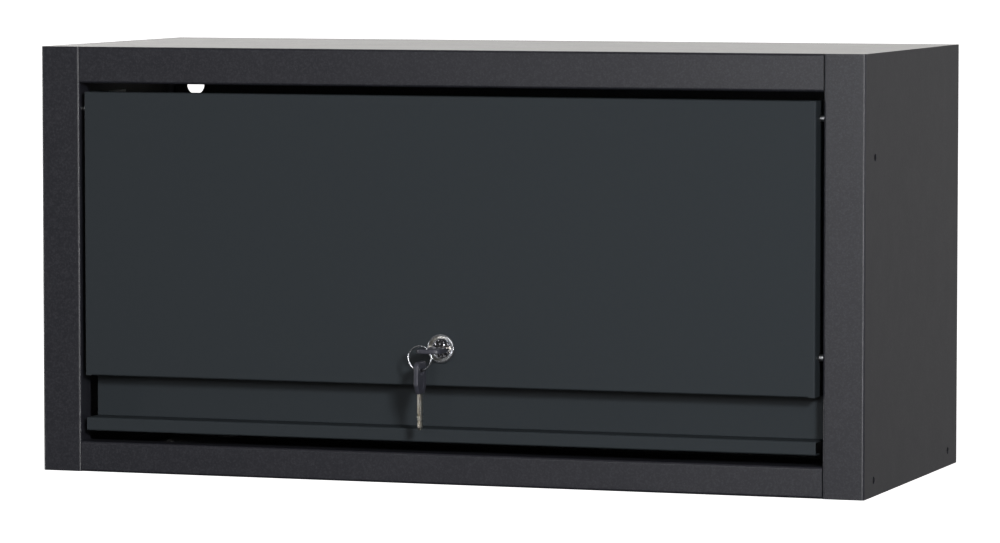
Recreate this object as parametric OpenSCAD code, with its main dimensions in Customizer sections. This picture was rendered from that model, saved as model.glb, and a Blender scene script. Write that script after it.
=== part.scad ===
// Wall-hung steel tool cabinet with a flip-up door, two telescopic door stays
// and a key lock that works two latch rods.
// Millimetres. The origin is the middle of the underside, +Y runs to the wall, +Z is up.

/* [Cabinet] */
// Width of the cabinet over its sides
cabinet_w = 700; // [600:1:900]
// Height of the cabinet
cabinet_h = 350; // [340:1:450]
// Depth of the cabinet
cabinet_d = 300; // [260:1:400]
// Thickness of the sheet steel
sheet = 1; // [0.8:0.1:1.4]
// Inside radius of the bends in the casing
bend_in = 1.2; // [0.5:0.1:2]
// Width of the upright beside the door
stile_w = 34; // [32:0.5:45]
// Height of the rail above the door
top_rail_h = 30; // [26:0.5:40]
// Height of the rail below the door
bottom_rail_h = 25; // [18:0.5:32]
// Depth of the flange that each front edge turns in
return_d = 20; // [18:0.5:28]
// How far the back panel lies in from the rear edge
back_inset = 15; // [10:0.5:25]
// Height of the flanges that join the top and bottom to the sides
seam_flange = 9; // [6:0.5:9.5]

/* [Fixing holes] */
// Distance of a wall keyhole from the side of the cabinet
keyhole_in = 20.8; // [18:0.1:30]
// Distance of a wall keyhole from the top of the cabinet
keyhole_down = 41; // [34:0.5:60]
// Diameter of the round mouth of a keyhole
keyhole_d = 16; // [12:0.5:18]
// Width of the slot above the mouth of a keyhole
keyhole_slot_w = 8; // [5:0.5:9]
// Distance from the middle of the mouth to the middle of the slot's round end
keyhole_rise = 14; // [12:0.5:20]
// Diameter of the holes that join cabinets side by side
join_hole_d = 6; // [4:0.1:8]
// Distance of the joining holes from the front and the rear edge
join_hole_in = 30; // [26:0.5:40]
// Height of the lower joining holes
join_hole_low = 13; // [13:0.5:20]
// Height of the upper joining hole
join_hole_high = 268; // [240:1:290]

/* [Door] */
// Gap between the door and each upright
door_side_gap = 5.3; // [4.5:0.1:7]
// Gap between the door and the top rail
door_top_gap = 7; // [6.5:0.1:9]
// Gap between the door and the bottom rail
door_bottom_gap = 9; // [5:0.5:14]
// How far the door face stands in front of the casing
door_proud = 3; // [1:0.1:4]
// Inside radius of the bends in the door
door_bend_in = 0.5; // [0.3:0.1:1]
// Depth of the door over its side flanges
door_d = 26; // [25:0.5:30]
// Depth of the flange along the top of the door
door_top_flange = 14; // [10:0.5:15]
// Height of the lip below the pull
lip_h = 11; // [8:0.5:16]
// How far the lip lies behind the door face
lip_set = 3; // [1:0.1:5]
// Depth of the hem under the lip
lip_hem = 12; // [6:0.5:18]
// Height of the finger opening of the pull
pull_h = 35; // [25:0.5:45]

/* [Hinge] */
// Distance of the hinge axis behind the door face
hinge_back = 15; // [13:0.1:16]
// Distance of the hinge axis below the top of the door
hinge_drop = 14; // [12:0.1:15]
// Diameter of the hinge pins
hinge_pin_d = 5.5; // [4.5:0.1:6]
// Wall of the plastic bushes
bush_wall = 1.8; // [1.2:0.1:2.2]
// Radial clearance of a pin that turns in its bush or eye
pin_fit = 0.05; // [0.02:0.01:0.09]
// Diameter added to a hole so that what is fixed in it goes in
hole_ease = 0.1; // [0.05:0.01:0.2]

/* [Stays] */
// Height of the stay's stud on the door above the latch rod
stud_above_latch = 43.6; // [40:0.1:60]
// Angle of the cabinet stud below the level of the hinge
stay_dip = 8; // [7:0.1:9]
// Angle of the door stud behind the plumb line through the hinge
stay_lean = 2; // [1:0.1:2.5]
// Clear distance between a stay and the side flange of the door
stay_off = 3.7; // [3:0.1:6]
// Outer diameter of the stay's tube
tube_d = 14; // [13:0.1:15]
// Wall of the stay's tube
tube_wall = 1; // [0.8:0.1:1.4]
// Diameter of the stay's rod
stay_rod_d = 7; // [6:0.1:8]
// Clearance all round the piston in its tube
piston_gap = 0.3; // [0.3:0.05:0.5]
// Diameter of the studs that carry the stays
stud_d = 6; // [5:0.1:6.5]
// Wall of the eyes at both ends of a stay
eye_wall = 4; // [3:0.1:4.5]
// Width of the eyes along the stud
eye_w = 8; // [6:0.1:9]
// Thickness of the stay brackets
bracket_t = 1.5; // [1:0.1:2]
// Length of a stay bracket along the side of the cabinet
bracket_l = 34; // [26:0.5:44]

/* [Door stops] */
// Thickness of the stop brackets
stop_t = 1.2; // [1:0.1:2]
// Height of the stop brackets
stop_h = 14; // [10:0.5:16]
// Diameter of the rubber buffers
buffer_d = 9; // [7:0.1:10]
// Thickness of the rubber buffers
buffer_t = 2.5; // [2:0.1:4]
// Gap between a buffer and the closed door
buffer_gap = 0.3; // [0.3:0.05:0.5]

/* [Lock] */
// Height of the lock above the lower edge of the door face
lock_rise = 30.5; // [28:0.5:40]
// Diameter of the lock's bezel
bezel_d = 24.4; // [23:0.1:28]
// Height of the bezel in front of the door face
bezel_h = 3; // [2.5:0.1:4]
// Outer diameter of the lock's threaded barrel
barrel_d = 18.8; // [18:0.1:20]
// Width of the barrel over its two flats
barrel_flats = 16.5; // [16:0.1:17.5]
// Depth of the barrel behind the door face
barrel_l = 19.5; // [18:0.1:20]
// Diameter of the turning plug
plug_d = 14; // [13:0.1:14.5]
// Width across the flats of the nut behind the door
nut_flats = 24; // [22:0.1:27]
// Thickness of the nut
nut_t = 3; // [2:0.1:4]
// Thickness of the cam
cam_t = 2; // [1.5:0.1:2.5]
// Distance of each cam pin from the lock axis
cam_r = 10; // [9.5:0.1:10.5]
// Diameter of the cam pins
cam_pin_d = 3; // [2.5:0.1:3.5]
// Play of a cam pin on each side of its fork
fork_play = 0.7; // [0.65:0.05:0.9]

/* [Latch rods] */
// Diameter of the latch rods
latch_d = 6; // [5:0.1:6.5]
// Gap between the tip of a latch rod and the upright when unlocked
latch_tip_gap = 2; // [1:0.1:3]
// Thickness of the forked plate on a latch rod
fork_t = 2; // [1.5:0.1:2.5]
// Radial clearance of a latch rod in its guide
latch_fit = 0.1; // [0.05:0.01:0.1]
// Radial clearance of a latch rod in the upright
latch_hole_gap = 1.6; // [1:0.1:2]

/* [Keys] */
// Length of a key blade
blade_l = 29; // [28:0.5:32]
// Length of blade that enters the plug
blade_in = 19.6; // [17:0.1:20]
// Width of a key blade
blade_w = 8; // [7:0.1:8.5]
// Thickness of a key blade
blade_t = 2; // [1.6:0.1:2.3]
// Clearance between the blade and the keyway
blade_gap = 0.3; // [0.2:0.05:0.4]
// Length of a key head
head_l = 26; // [24:0.5:30]
// Width of a key head
head_w = 21; // [19:0.5:24]
// Thickness of a key head
head_t = 3.6; // [3.2:0.1:4]
// Length of the slot across a key head
head_slot_l = 9; // [8.6:0.1:9.4]
// Width of the slot across a key head
head_slot_w = 5; // [4:0.1:6]
// Distance from the end of a key head to its slot
head_edge = 5.8; // [4:0.1:7]
// Radius of the split ring at the middle of its wire
ring_r = 9.7; // [9.5:0.1:10]
// Diameter of the split ring's wire
ring_wire = 1.3; // [1.1:0.05:1.3]
// Height of the key head above the middle of the ring
ring_hang = 5.9; // [5.6:0.1:6.2]

/* [Hidden] */
$fn = 48;

// Colours
casing_grey = [0.14, 0.14, 0.15];
door_grey = [0.17, 0.19, 0.20];
zinc = [0.66, 0.67, 0.68];
chrome = [0.80, 0.80, 0.82];
dark_metal = [0.22, 0.22, 0.24];
nickel = [0.70, 0.68, 0.63];
nylon = [0.86, 0.86, 0.82];
key_black = [0.10, 0.10, 0.13];
rubber_black = [0.05, 0.05, 0.05];

// Casing
front_y = -cabinet_d / 2;
rear_y = cabinet_d / 2;
side_x = cabinet_w / 2;
opening_x = side_x - stile_w;
opening_top = cabinet_h - top_rail_h;
return_y = front_y + return_d;
back_front_y = rear_y - back_inset;
keyhole_x = side_x - keyhole_in;
keyhole_z = cabinet_h - keyhole_down;

// Door
door_x = opening_x - door_side_gap;
door_front = front_y - door_proud;
door_rear = door_front + door_d;
door_top = opening_top - door_top_gap;
door_bottom = bottom_rail_h + door_bottom_gap;
ledge_z = door_bottom + lip_h;
face_bottom = ledge_z + pull_h;
lip_y = door_front + lip_set;
corner_relief = 2.7;
lock_z = face_bottom + lock_rise;

// Hinge axis, bushes and guides
hinge_y = door_front + hinge_back;
hinge_z = door_top - hinge_drop;
hinge_bush_d = hinge_pin_d + 2 * pin_fit + 2 * bush_wall;
latch_bush_d = latch_d + 2 * latch_fit + 2 * bush_wall;
bush_collar = 1.5;
bush_collar_h = 1.5;
pin_head_d = hinge_pin_d + 3.5;
pin_head_h = 2;
pin_past_bush = 0.6;

// Stays: both studs lie on one circle round the hinge axis, so the line
// between them turns by exactly half the angle that the door turns.
stay_reach = (hinge_z - lock_z - stud_above_latch) / cos(stay_lean);
stay_x = door_x - sheet - stay_off - tube_d / 2;
stay_spread = 90 - stay_dip - stay_lean;
stay_closed = 2 * stay_reach * sin(stay_spread / 2);
tube_stud_y = hinge_y + stay_reach * cos(stay_dip);
tube_stud_z = hinge_z - stay_reach * sin(stay_dip);
rod_stud_y = hinge_y + stay_reach * sin(stay_lean);
rod_stud_z = hinge_z - stay_reach * cos(stay_lean);
stay_tilt = atan2(tube_stud_z - rod_stud_z, tube_stud_y - rod_stud_y);
eye_d = stud_d + 2 * pin_fit + 2 * eye_wall;
neck_d = 7.4;
neck_l = 14;
guide_l = 10;
guide_lip = 2;
exposed_rod = 7;
tube_end = stay_closed - eye_d / 2 - exposed_rod - guide_lip;
tube_floor = neck_l + 3;
rod_foot_gap = 9;
rod_l = stay_closed - tube_floor - rod_foot_gap;
piston_l = 8;
stud_head_d = 9;
stud_head_h = 1.5;
rivet_head_h = 1.2;
eye_side_play = 0.2;
bracket_drop = 12;
bracket_foot = 18;

// Door stops
stop_z = face_bottom + 4;
stop_overlap = 6;
buffer_y = door_rear + buffer_gap;

// Lock, from the lock axis on the door face: x right, y up, z out of the door
plug_face = 1;
dish_depth = 0.8;
keyway_depth = blade_in + plug_face + 0.4;
plug_rear = barrel_l + 2;
shank_w = 7;
screw_d = 3;
screw_l = plug_rear + cam_t - keyway_depth + plug_face - 0.4;
screw_head_d = 6;
screw_head_h = 2.4;
cam_w = 9;
cam_pin_head = 1;
fork_gap = 1;
cam_rear = plug_rear + cam_t;
fork_front = cam_rear + fork_gap;
cam_pin_l = fork_gap + fork_t + 0.5;

// Latch rods
half_turn = 45;
pin_low = cam_r * cos(half_turn);
pin_side = cam_r * sin(half_turn);
fork_inner = pin_low - cam_pin_d / 2 - 0.4;
fork_slot_end = cam_r + cam_pin_d / 2 + 0.6;
fork_outer = fork_slot_end + 2;
fork_prong = 2.5;
latch_tip_x = opening_x - latch_tip_gap;
tab_x = cam_r + cam_pin_d / 2 + 8;
fork_arm_w = 8;

// Keys: the key in the lock lies flat, the spare one hangs edge on from the ring
head_near = blade_l - blade_in;
slot_from_blade = head_l - head_edge - head_slot_w / 2;
ring_y = door_front - head_near - slot_from_blade;
ring_z = lock_z - ring_hang;
// the wire's inner side meets the upper face of the head this far from the ring's middle
ring_reach = sqrt(pow(ring_r - ring_wire / 2, 2) - pow(ring_hang + head_t / 2, 2));
ring_seat = 0.65;
spare_seat = 0.7;
ring_x = -head_slot_l / 2 + ring_seat - ring_reach;
coil_step = ring_wire * 0.9;

// ---- Folded sheet ----

function unit(v) = v / norm(v);
function sign_of(v) = [sign(v[0]), sign(v[1])];

// Flat length of a folded strip from `a` to `b`, which lie along x or y
module flat(a, b, thickness) {
  margin = thickness / 2 * sign_of([abs(b[1] - a[1]), abs(b[0] - a[0])]);
  low = [min(a[0], b[0]), min(a[1], b[1])] - margin;
  high = [max(a[0], b[0]), max(a[1], b[1])] + margin;
  translate(low)
    square(high - low);
}

// Right-angled bend of a folded strip whose middle lines meet at `b`
module bend(a, b, c, radius, thickness) {
  centre = b - radius * unit(b - a) + radius * unit(c - b);
  reach = radius + thickness;
  toward = sign_of(b - centre);
  translate(centre)
    intersection() {
      difference() {
        circle(r = radius + thickness / 2);
        circle(r = radius - thickness / 2);
      }
      translate([min(0, toward[0] * reach), min(0, toward[1] * reach)])
        square(reach);
    }
}

// Cross-section of a sheet folded along the middle line `path`, all bends square
module folded(path, thickness, inside_radius) {
  radius = inside_radius + thickness / 2;
  last = len(path) - 1;
  for (i = [0 : last - 1]) {
    along = unit(path[i + 1] - path[i]);
    trim_start = i == 0 ? 0 : radius;
    trim_end = i == last - 1 ? 0 : radius;
    flat(path[i] + trim_start * along, path[i + 1] - trim_end * along, thickness);
  }
  for (i = [1 : last - 1])
    bend(path[i - 1], path[i], path[i + 1], radius, thickness);
}

// Places a shape drawn in Y (first) and Z (second) so that it spans X from `x0` to `x1`
module across(x0, x1) {
  translate([x0, 0, 0])
    rotate([90, 0, 90])
      linear_extrude(x1 - x0)
        children();
}

// A round bar along X from `x0` to `x1` at a height and depth
module bar_x(d, x0, x1, y, z) {
  translate([x0, y, z])
    rotate([0, 90, 0])
      cylinder(d = d, h = x1 - x0);
}

// Lock frame: x right, y up, z out of the door
module at_lock() {
  translate([0, door_front, lock_z])
    rotate([90, 0, 0])
      children();
}

module mirrored() {
  mirror([1, 0, 0])
    children();
}

// ---- Casing ----

// Side wall, front upright and its return in one folded sheet
module left_side() {
  half = sheet / 2;
  color(casing_grey)
    difference() {
      linear_extrude(cabinet_h)
        folded([
          [-side_x + half, rear_y],
          [-side_x + half, front_y + half],
          [-opening_x - half, front_y + half],
          [-opening_x - half, return_y]
        ], sheet, bend_in);
      // holes that join cabinets side by side
      for (hole = [
        [front_y + join_hole_in, join_hole_high],
        [front_y + join_hole_in, join_hole_low],
        [rear_y - join_hole_in, join_hole_low]
      ])
        bar_x(join_hole_d, -side_x - 1, -side_x + 2 * sheet, hole[0], hole[1]);
      // the return stops short of the top and bottom plates
      for (z = [0, cabinet_h - sheet])
        translate([-opening_x - sheet - bend_in, front_y + sheet, z])
          cube([sheet + bend_in, return_d, sheet]);
      // hole for the hinge pin and hole that takes the latch rod
      bar_x(hinge_pin_d + hole_ease, -opening_x - 2 * sheet, -opening_x + 1, hinge_y, hinge_z);
      bar_x(latch_d + 2 * latch_hole_gap, -opening_x - 2 * sheet, -opening_x + 1, hinge_y, lock_z);
    }
}

module right_side() {
  mirrored() left_side();
}

// Top or bottom pan at z = 0, its rail hanging down: plate, rail with return, two seam flanges
module pan(rail_h) {
  half = sheet / 2;
  inner_x = side_x - sheet;
  wing_front = front_y + sheet + bend_in;
  color(casing_grey) {
    across(-opening_x, opening_x)
      folded([
        [rear_y, -half],
        [front_y + half, -half],
        [front_y + half, -rail_h + half],
        [return_y, -rail_h + half]
      ], sheet, bend_in);
    for (wing_x = [-inner_x, opening_x]) {
      translate([wing_x, wing_front, -sheet])
        cube([inner_x - opening_x, rear_y - wing_front, sheet]);
      translate([wing_x + (wing_x < 0 ? bend_in : 0), front_y + sheet, -sheet])
        cube([inner_x - opening_x - bend_in, bend_in, sheet]);
    }
    for (side = [-1, 1])
      translate([side * (inner_x - half) - half, return_y, -seam_flange])
        cube([sheet, back_front_y - return_y, seam_flange]);
  }
}

module top_panel() {
  translate([0, 0, cabinet_h])
    pan(top_rail_h);
}

module bottom_panel() {
  mirror([0, 0, 1])
    pan(bottom_rail_h);
}

// Keyhole that opens upwards, cut through the back panel
module keyhole() {
  rotate([-90, 0, 0]) {
    translate([0, 0, -sheet])
      cylinder(d = keyhole_d, h = 3 * sheet);
    translate([0, -keyhole_rise, -sheet])
      cylinder(d = keyhole_slot_w, h = 3 * sheet);
    translate([-keyhole_slot_w / 2, -keyhole_rise, -sheet])
      cube([keyhole_slot_w, keyhole_rise, 3 * sheet]);
  }
}

// Back pan, its four flanges turned towards the wall
module back_panel() {
  pan_x = side_x - sheet;
  pan_h = cabinet_h - 2 * sheet;
  color(casing_grey)
    difference() {
      translate([-pan_x, back_front_y, sheet])
        cube([2 * pan_x, back_inset, pan_h]);
      translate([-pan_x + sheet, back_front_y + sheet, 2 * sheet])
        cube([2 * pan_x - 2 * sheet, back_inset, pan_h - 2 * sheet]);
      for (side = [-1, 1])
        translate([side * keyhole_x, back_front_y, keyhole_z])
          keyhole();
    }
}

// Hinge pin, riveted into the upright's return
module left_hinge_pin() {
  pocket_x = -opening_x - sheet;
  color(zinc) {
    bar_x(hinge_pin_d, pocket_x, -door_x + sheet + bush_collar + pin_past_bush, hinge_y, hinge_z);
    bar_x(pin_head_d, pocket_x - pin_head_h, pocket_x, hinge_y, hinge_z);
  }
}

module right_hinge_pin() {
  mirrored() left_hinge_pin();
}

// Z bracket that carries a stay's tube in line with the door's side flange
module left_stay_bracket() {
  half = bracket_t / 2;
  wall_x = -side_x + sheet + half;
  face_x = -door_x + sheet - half;
  top_z = tube_stud_z + bracket_drop;
  color(zinc)
    difference() {
      translate([0, tube_stud_y + bracket_l / 2, 0])
        rotate([90, 0, 0])
          linear_extrude(bracket_l)
            folded([
              [wall_x, top_z + bracket_foot],
              [wall_x, top_z],
              [face_x, top_z],
              [face_x, tube_stud_z - bracket_drop]
            ], bracket_t, bend_in);
      bar_x(stud_d + hole_ease, face_x - bracket_t, face_x + bracket_t, tube_stud_y, tube_stud_z);
    }
}

module right_stay_bracket() {
  mirrored() left_stay_bracket();
}

// Shouldered stud on the left: shoulder against its plate, stem through the eye, head
module stay_stud(y, z) {
  plate_x = -door_x + sheet;
  eye_x0 = -stay_x - eye_w / 2 - eye_side_play;
  eye_x1 = -stay_x + eye_w / 2 + eye_side_play;
  color(zinc) {
    bar_x(stud_head_d, plate_x, eye_x0, y, z);
    bar_x(stud_d, plate_x, eye_x1, y, z);
    bar_x(stud_head_d, eye_x1, eye_x1 + stud_head_h, y, z);
  }
}

// Stud riveted through its bracket
module left_bracket_stud() {
  plate_x = -door_x + sheet - bracket_t;
  stay_stud(tube_stud_y, tube_stud_z);
  color(zinc) {
    bar_x(stud_d, plate_x, plate_x + 2 * bracket_t, tube_stud_y, tube_stud_z);
    bar_x(stud_head_d, plate_x - rivet_head_h, plate_x, tube_stud_y, tube_stud_z);
  }
}

module right_bracket_stud() {
  mirrored() left_bracket_stud();
}

// Angle behind the door's side flange, fixed in the pocket of the upright
module left_door_stop() {
  half = stop_t / 2;
  tab_y = buffer_y + buffer_t + half;
  color(casing_grey)
    translate([0, 0, stop_z])
      linear_extrude(stop_h)
        folded([
          [-opening_x - sheet - half, return_y - return_d / 2],
          [-opening_x - sheet - half, tab_y],
          [-door_x + stop_overlap, tab_y]
        ], stop_t, bend_in);
}

module right_door_stop() {
  mirrored() left_door_stop();
}

// Rubber buffer that the closed door comes to rest against
module left_stop_buffer() {
  color(rubber_black)
    translate([-door_x + sheet / 2, buffer_y, stop_z + stop_h / 2])
      rotate([-90, 0, 0])
        cylinder(d = buffer_d, h = buffer_t);
}

module right_stop_buffer() {
  mirrored() left_stop_buffer();
}

// ---- Door ----

// Pull below the face: shelf under the face, back of the recess, ledge, lip and hem
function pull_path(first) =
  let (half = sheet / 2)
  concat(first, [
    [door_rear + half, face_bottom + half],
    [door_rear + half, ledge_z - half],
    [lip_y + half, ledge_z - half],
    [lip_y + half, door_bottom + half],
    [lip_y + lip_hem, door_bottom + half]
  ]);

// Face, top flange, side flanges and pull, folded from one sheet
module door_panel() {
  half = sheet / 2;
  face_y = door_front + half;
  inner_x = door_x - corner_relief;
  color(door_grey)
    difference() {
      union() {
        across(-inner_x, inner_x)
          folded(pull_path([
            [door_front + door_top_flange, door_top - half],
            [face_y, door_top - half],
            [face_y, face_bottom + half]
          ]), sheet, door_bend_in);
        across(-door_x, door_x)
          folded(pull_path([[door_front + door_d / 2, face_bottom + half]]), sheet, door_bend_in);
        translate([0, 0, face_bottom])
          linear_extrude(door_top - face_bottom)
            for (side = [-1, 1])
              folded([
                [side * (inner_x - corner_relief), face_y],
                [side * (door_x - half), face_y],
                [side * (door_x - half), door_rear]
              ], sheet, door_bend_in);
      }
      for (side = [-1, 1]) {
        x0 = side * door_x - 2 * sheet;
        x1 = side * door_x + 2 * sheet;
        bar_x(hinge_bush_d, x0, x1, hinge_y, hinge_z);
        bar_x(latch_bush_d, x0, x1, hinge_y, lock_z);
      }
      at_lock()
        translate([0, 0, -2 * sheet])
          linear_extrude(4 * sheet)
            flatted(barrel_d + hole_ease, barrel_flats + hole_ease);
    }
}

// Circle with two upright flats
module flatted(d, flats) {
  intersection() {
    circle(d = d);
    square([flats, d], center = true);
  }
}

// Plastic bush in the left side flange, its collar inside the door
module left_bush(outer_d, bore_d, z) {
  flange_x = -door_x + sheet;
  color(nylon)
    difference() {
      union() {
        bar_x(outer_d, -door_x, flange_x, hinge_y, z);
        bar_x(outer_d + 2 * bush_collar_h, flange_x, flange_x + bush_collar, hinge_y, z);
      }
      bar_x(bore_d, -door_x - 1, flange_x + bush_collar + 1, hinge_y, z);
    }
}

module left_hinge_bush() {
  left_bush(hinge_bush_d, hinge_pin_d + 2 * pin_fit, hinge_z);
}

module right_hinge_bush() {
  mirrored() left_hinge_bush();
}

module left_latch_guide() {
  left_bush(latch_bush_d, latch_d + 2 * latch_fit, lock_z);
}

module right_latch_guide() {
  mirrored() left_latch_guide();
}

// Stud welded to the inside of the door's side flange
module left_door_stud() {
  stay_stud(rod_stud_y, rod_stud_z);
}

module right_door_stud() {
  mirrored() left_door_stud();
}

// ---- Stays ----

// Stay frame on one side: x up the stay from the door stud, z along the studs
module along_stay(side) {
  translate([side * stay_x, rod_stud_y, rod_stud_z])
    rotate([90, 0, 90])
      rotate([0, 0, stay_tilt])
        children();
}

// Eye at the end of a stay, with the neck that joins it
module stay_eye(neck) {
  difference() {
    union() {
      translate([0, 0, -eye_w / 2])
        cylinder(d = eye_d, h = eye_w);
      translate([eye_d / 2 - 2, 0, 0])
        rotate([0, 90, 0])
          cylinder(d = neck_d, h = neck - eye_d / 2 + 2);
    }
    translate([0, 0, -eye_w])
      cylinder(d = stud_d + 2 * pin_fit, h = 2 * eye_w);
  }
}

module stay_tube(side) {
  color(zinc)
    along_stay(side)
      translate([stay_closed, 0, 0])
        mirror([1, 0, 0]) {
          stay_eye(neck_l);
          difference() {
            translate([neck_l - 1, 0, 0])
              rotate([0, 90, 0])
                cylinder(d = tube_d, h = tube_end - neck_l + 1);
            translate([tube_floor, 0, 0])
              rotate([0, 90, 0])
                cylinder(d = tube_d - 2 * tube_wall, h = tube_end);
          }
        }
}

module left_stay_tube() {
  stay_tube(-1);
}

module right_stay_tube() {
  stay_tube(1);
}

// Plastic guide in the mouth of the tube
module stay_guide(side) {
  color(rubber_black)
    along_stay(side)
      translate([stay_closed - tube_end, 0, 0])
        rotate([0, 90, 0])
          difference() {
            union() {
              cylinder(d = tube_d - 2 * tube_wall, h = guide_l);
              translate([0, 0, -guide_lip])
                cylinder(d = tube_d, h = guide_lip);
            }
            translate([0, 0, -guide_l])
              cylinder(d = stay_rod_d + 2 * latch_fit, h = 3 * guide_l);
          }
}

module left_stay_guide() {
  stay_guide(-1);
}

module right_stay_guide() {
  stay_guide(1);
}

// Rod with its eye and the piston, held by the rod's riveted end
module stay_rod(side) {
  rivet = 1;
  color(chrome)
    along_stay(side) {
      stay_eye(eye_d / 2 + 2);
      translate([eye_d / 2 + 1, 0, 0])
        rotate([0, 90, 0])
          cylinder(d = stay_rod_d, h = rod_l - eye_d / 2 - 1);
      translate([rod_l - piston_l - rivet, 0, 0])
        rotate([0, 90, 0])
          cylinder(d = tube_d - 2 * tube_wall - 2 * piston_gap, h = piston_l);
    }
}

module left_stay_rod() {
  stay_rod(-1);
}

module right_stay_rod() {
  stay_rod(1);
}

// ---- Lock ----

// Barrel with its bezel, the dish round the plug turned into it
module lock_body() {
  bezel_r = bezel_d / 2;
  bore_r = plug_d / 2 + pin_fit;
  color(chrome)
    at_lock() {
      rotate_extrude()
        polygon([
          [bore_r, 0],
          [bezel_r, 0],
          [bezel_r, bezel_h * 0.4],
          [bezel_r - 0.5, bezel_h * 0.75],
          [bezel_r - 1.3, bezel_h],
          [bezel_r - 2, bezel_h],
          [bezel_r - 2.6, bezel_h * 0.8],
          [bore_r + 1, dish_depth],
          [bore_r, dish_depth]
        ]);
      translate([0, 0, -barrel_l])
        linear_extrude(barrel_l)
          difference() {
            flatted(barrel_d, barrel_flats);
            circle(r = bore_r);
          }
    }
}

// Hexagon nut that draws the lock against the door
module lock_nut() {
  color(zinc)
    at_lock()
      translate([0, 0, -sheet - nut_t])
        difference() {
          cylinder(d = nut_flats / cos(30), h = nut_t, $fn = 6);
          translate([0, 0, -1])
            cylinder(d = barrel_d + hole_ease, h = nut_t + 2);
        }
}

// Turning plug with its keyway and the square shank for the cam
module lock_plug() {
  slot_w = blade_w + 2 * blade_gap;
  slot_h = blade_t + 2 * blade_gap;
  color(dark_metal)
    at_lock()
      difference() {
        union() {
          translate([0, 0, -plug_rear])
            cylinder(d = plug_d, h = plug_rear + plug_face);
          translate([-shank_w / 2, -shank_w / 2, -cam_rear])
            cube([shank_w, shank_w, cam_rear]);
        }
        translate([-slot_w / 2, -slot_h / 2, plug_face - keyway_depth])
          cube([slot_w, slot_h, keyway_depth + 1]);
        translate([0, 0, -cam_rear - 1])
          cylinder(d = screw_d, h = screw_l + 1);
      }
}

// Cam plate with a rearward pin at each end
module lock_cam() {
  color(zinc)
    at_lock()
      rotate([0, 0, 90 + half_turn]) {
        translate([0, 0, -cam_rear])
          linear_extrude(cam_t)
            difference() {
              union() {
                square([2 * cam_r, cam_w], center = true);
                for (end = [-1, 1])
                  translate([end * cam_r, 0])
                    circle(d = cam_w * 0.8);
                circle(d = cam_w * 1.4);
              }
              rotate(half_turn)
                square(shank_w + hole_ease, center = true);
            }
        for (end = [-1, 1])
          translate([end * cam_r, 0, -cam_rear - cam_pin_l - cam_pin_head]) {
            cylinder(d = cam_pin_d, h = cam_pin_l + cam_pin_head + cam_t / 2);
            cylinder(d = cam_pin_d + 1.5, h = cam_pin_head);
          }
      }
}

module cam_screw() {
  color(zinc)
    at_lock()
      translate([0, 0, -cam_rear]) {
        cylinder(d = screw_d, h = screw_l);
        difference() {
          translate([0, 0, -screw_head_h])
            cylinder(d = screw_head_d, h = screw_head_h);
          for (turn = [0, 90])
            rotate([0, 0, turn])
              translate([-screw_head_d / 4, -0.4, -screw_head_h - 1])
                cube([screw_head_d / 2, 0.8, 2]);
        }
      }
}

// Right latch rod: forked plate over the upper cam pin, its tab turned forward to the rod
module right_latch_rod() {
  slot_w = cam_pin_d + 2 * fork_play;
  fork_x = -pin_side - slot_w / 2 - fork_prong;
  tab_h = latch_d + 4;
  tab_front = hinge_back - tab_h / 2;
  color(zinc)
    at_lock() {
      translate([0, 0, -fork_front - fork_t])
        linear_extrude(fork_t)
          difference() {
            union() {
              translate([fork_x, fork_inner])
                square([tab_x + fork_t - fork_x, fork_outer - fork_inner]);
              translate([tab_x + fork_t - fork_arm_w, -tab_h / 2])
                square([fork_arm_w, tab_h / 2 + fork_outer]);
            }
            translate([-pin_side, fork_slot_end - slot_w / 2])
              circle(d = slot_w);
            translate([-pin_side - slot_w / 2, fork_inner - 1])
              square([slot_w, fork_slot_end - slot_w / 2 - fork_inner + 1]);
          }
      translate([tab_x, -tab_h / 2, -fork_front - fork_t / 2])
        cube([fork_t, tab_h, fork_front + fork_t / 2 - tab_front]);
      translate([tab_x - 1, 0, -hinge_back])
        rotate([0, 90, 0])
          cylinder(d = latch_d, h = latch_tip_x - tab_x + 1);
    }
}

// The left rod is the right one turned half round the lock axis
module left_latch_rod() {
  translate([0, 0, 2 * lock_z])
    rotate([0, 180, 0])
      right_latch_rod();
}

// ---- Keys ----
// Key frame: x across the key, y from the shoulder to the tip of the blade,
// z through its thickness; the head lies at negative y.

// Blade with its milled groove and cuts on both edges
module blade() {
  tip = 2.2;
  cut_pitch = 2.6;
  cut_depth = 1;
  cuts = 4;
  root = 2;
  color(nickel)
    difference() {
      translate([0, 0, -blade_t / 2])
        linear_extrude(blade_t)
          polygon([
            [-blade_w / 2, -root],
            [blade_w / 2, -root],
            [blade_w / 2, blade_l - tip],
            [blade_w / 4, blade_l],
            [-blade_w / 4, blade_l],
            [-blade_w / 2, blade_l - tip]
          ]);
      for (side = [-1, 1], k = [0 : cuts - 1])
        translate([side * (blade_w / 2 + 0.3), blade_l - 2 * tip - k * cut_pitch, 0])
          rotate([0, 0, 45])
            cube([cut_depth + k % 2, cut_depth + k % 2, 2 * blade_t], center = true);
      for (side = [-1, 1])
        translate([side * blade_w / 6 - 0.5, 2, side * blade_t / 2 - 0.4])
          cube([1, blade_l, 0.8]);
    }
}

// Outline of a key head: rounded end, straight flanks, shoulders drawn in to the blade
module head_outline() {
  corner = 5;
  waist = blade_w / 2 + 2;
  shoulder = 7;
  for (side = [-1, 1])
    translate([side * (head_w / 2 - corner), corner - head_l])
      circle(r = corner);
  translate([corner - head_w / 2, -head_l])
    square([head_w - 2 * corner, corner]);
  polygon([
    [-head_w / 2, corner - head_l],
    [head_w / 2, corner - head_l],
    [head_w / 2, -shoulder],
    [waist, 0],
    [-waist, 0],
    [-head_w / 2, -shoulder]
  ]);
}

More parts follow.
